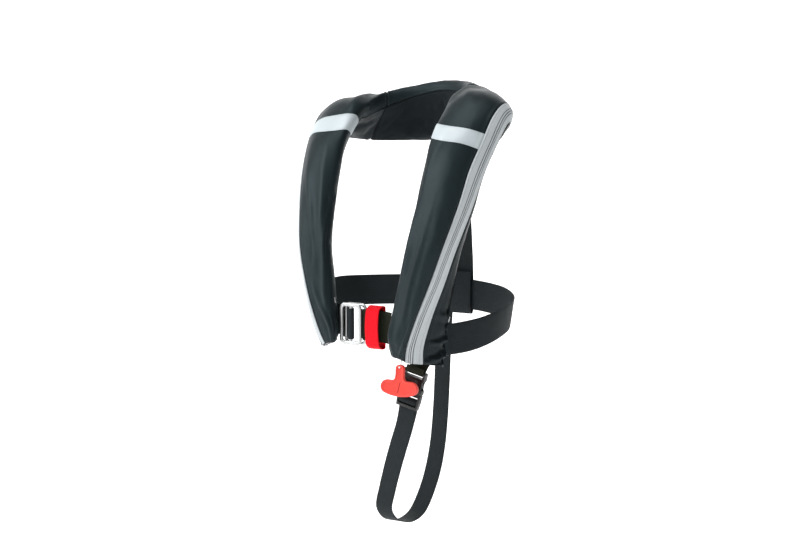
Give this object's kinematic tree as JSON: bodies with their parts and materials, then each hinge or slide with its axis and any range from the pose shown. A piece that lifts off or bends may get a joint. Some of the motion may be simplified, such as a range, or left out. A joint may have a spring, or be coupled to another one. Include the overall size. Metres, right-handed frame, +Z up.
{
  "type": "inflatable life jacket",
  "caption": "Inflatable life jacket: padded collar and lobes over a bladder, waist belt with steel hook buckle, crotch strap with side-release buckle, and a pull-toggle gas inflator.",
  "frame": {"origin": "on the wearer's torso axis at the base of the neck, where the collar rests", "axes": "+X to the wearer's left, -Y to the wearer's front, +Z up; the worn jacket hangs from the shoulders"},
  "size_m": [0.353, 0.2769, 0.684],
  "materials": {
    "cover_fabric": "woven nylon, light sheen",
    "side_fabric": "woven nylon, darker side panel",
    "lining": "brushed soft lining",
    "reflective": "silver retroreflective film on cloth",
    "zip_tape": "knitted light grey tape",
    "zip_chain": "moulded coil",
    "zip_metal": "dark lacquer",
    "bladder_fabric": "coated nylon, yellow",
    "webbing": "woven polyester webbing",
    "olive_webbing": "woven olive-black webbing",
    "black_plastic": "moulded acetal",
    "red_webbing": "smooth woven red tape",
    "stainless": "tumbled stainless",
    "white_plastic": "moulded",
    "yellow_plastic": "moulded",
    "red_plastic": "moulded",
    "green_plastic": "moulded",
    "gas_steel": "zinc-coloured coat",
    "orange_plastic": "moulded",
    "cord": "braided white cord",
    "coral_plastic": "moulded, satin"
  },
  "bodies": {
    "jacket": {"front_cover_left": "cover_fabric", "front_cover_right": "cover_fabric", "back_cover_left": "side_fabric", "back_cover_right": "side_fabric", "collar_cover": "cover_fabric", "collar_lining": "lining", "hem_panel_left": "side_fabric", "hem_panel_right": "side_fabric", "reflective_band_left": "reflective", "reflective_band_right": "reflective", "zip_tape": "zip_tape", "zip_chain": "zip_chain", "bladder": "bladder_fabric", "waist_belt": "webbing", "belt_end_left": "olive_webbing", "belt_end_right": "webbing", "belt_tunnel_left": "side_fabric", "belt_tunnel_right": "side_fabric", "back_strap": "webbing", "crotch_strap_upper": "olive_webbing", "crotch_strap": "webbing", "crotch_buckle_socket": "black_plastic", "crotch_buckle_clip": "black_plastic", "inflator_body": "white_plastic", "lever_pin": "stainless", "firing_spring": "stainless", "safety_clip": "green_plastic", "gas_cylinder": "gas_steel", "valve_stem": "black_plastic", "valve_nut": "stainless", "oral_tube": "black_plastic", "whistle": "orange_plastic"},
    "plate": {"buckle_plate": "stainless"},
    "ring": {"buckle_ring": "stainless"},
    "loop": {"soft_loop": "red_webbing"},
    "cord": {"pull_cord": "cord"},
    "toggle": {"pull_toggle": "coral_plastic"},
    "lever": {"inflator_lever": "red_plastic"},
    "pin": {"piercing_pin": "stainless"},
    "prong_left": {"clip_prong_left": "black_plastic"},
    "prong_right": {"clip_prong_right": "black_plastic"},
    "slider": {"zip_slider": "zip_metal"},
    "slider_tab": {"zip_pull": "zip_metal"},
    "mouth_cap": {"oral_cap": "black_plastic"},
    "mouth_valve": {"oral_valve": "red_plastic"},
    "bobbin_cap": {"inflator_cap": "yellow_plastic"}
  },
  "joints": [
    {"name": "plate_tilt", "type": "hinge", "parent": "jacket", "child": "plate", "pos_m": [-0.0314, -0.123, -0.323], "axis": [0, 0, 1], "range_deg": [-6, 2]},
    {"name": "ring_tilt", "type": "hinge", "parent": "jacket", "child": "ring", "pos_m": [-0.009, -0.1165, -0.323], "axis": [0, 0, 1], "range_deg": [-1.5, 0]},
    {"name": "loop_slide", "type": "slide", "parent": "jacket", "child": "loop", "axis": [1, 0, 0], "range_m": [-0.001, 0.008]},
    {"name": "cord_pull", "type": "slide", "parent": "jacket", "child": "cord", "axis": [-0.1116, -0.1146, -0.9871], "range_m": [0, 0.012]},
    {"name": "toggle_swing", "type": "hinge", "parent": "cord", "child": "toggle", "pos_m": [0.06971, -0.1343, -0.37871], "axis": [-0.2079, 0.9781, 0], "range_deg": [-20, 20]},
    {"name": "lever_turn", "type": "hinge", "parent": "jacket", "child": "lever", "pos_m": [0.06454, -0.13662, -0.33365], "axis": [-0.587, 0.8095, -0.0136], "range_deg": [0, 60]},
    {"name": "pin_stroke", "type": "slide", "parent": "jacket", "child": "pin", "axis": [0.1886, 0.153, 0.9701], "range_m": [0, 0.004]},
    {"name": "prong_left_flex", "type": "hinge", "parent": "jacket", "child": "prong_left", "pos_m": [0.07909, -0.10532, -0.42462], "axis": [-0.1392, 0.9903, 0], "range_deg": [-8, 0], "stiffness_Nm_per_rad": 0.3},
    {"name": "prong_right_flex", "type": "hinge", "parent": "jacket", "child": "prong_right", "pos_m": [0.05805, -0.10827, -0.41893], "axis": [-0.1392, 0.9903, 0], "range_deg": [0, 8], "stiffness_Nm_per_rad": 0.3},
    {"name": "zip_run", "type": "slide", "parent": "jacket", "child": "slider", "axis": [0.9984, 0, 0.056], "range_m": [0, 0.012]},
    {"name": "zip_pull_swing", "type": "hinge", "parent": "slider", "child": "slider_tab", "pos_m": [0.00012, 0.12423, -0.04019], "axis": [-0.0528, 0.332, 0.9418], "range_deg": [-100, 0]},
    {"name": "cap_pull_off", "type": "slide", "parent": "jacket", "child": "mouth_cap", "axis": [-0.1884, 0.1599, 0.969], "range_m": [0, 0.014]},
    {"name": "valve_press", "type": "slide", "parent": "jacket", "child": "mouth_valve", "axis": [-0.1884, 0.1599, 0.969], "range_m": [-0.003, 0], "stiffness_N_per_m": 300},
    {"name": "bobbin_cap_turn", "type": "hinge", "parent": "jacket", "child": "bobbin_cap", "pos_m": [0.08255, -0.1209, -0.32211], "axis": [0.7874, 0.5668, -0.2424], "range_deg": [0, 90]}
  ],
  "couplings": [
    {"joint": "lever_turn", "follows": "cord_pull", "rad_per_m": 87.266},
    {"joint": "pin_stroke", "follows": "cord_pull", "ratio": 0.33333}
  ]
}
